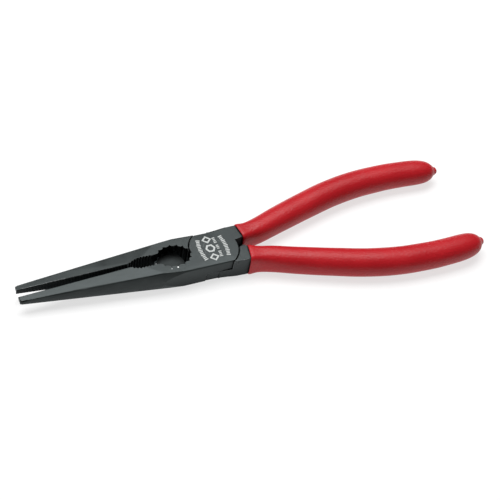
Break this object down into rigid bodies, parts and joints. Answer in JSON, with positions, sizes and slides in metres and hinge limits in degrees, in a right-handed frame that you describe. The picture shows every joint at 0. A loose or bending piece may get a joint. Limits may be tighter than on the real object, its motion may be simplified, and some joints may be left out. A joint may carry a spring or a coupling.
{
  "type": "needle nose pliers",
  "caption": "Long straight tapered jaws with a toothed pipe grip, flush riveted lap joint and bowed plastic-dipped handles.",
  "frame": {"origin": "pivot axis at the underside of the joint", "axes": "+X along the centre line from the jaw tips towards the handle ends, +Z along the pivot axis, +Y towards the far handle"},
  "size_m": [0.2001, 0.0598, 0.0116],
  "materials": {
    "black_steel": "black oxide over fine ground steel",
    "rivet_steel": "black oxide, ground flush",
    "red_dip": "satin dipped vinyl"
  },
  "bodies": {
    "half_a": {"jaw_half_a": "black_steel", "pivot_rivet": "rivet_steel", "grip_a": "red_dip"},
    "half_b": {"jaw_half_b": "black_steel", "grip_b": "red_dip"}
  },
  "joints": [
    {"name": "jaw_pivot", "type": "hinge", "parent": "half_a", "child": "half_b", "pos_m": [0, 0, 0.0049], "axis": [0, 0, -1], "range_deg": [-2.2, 28]}
  ]
}
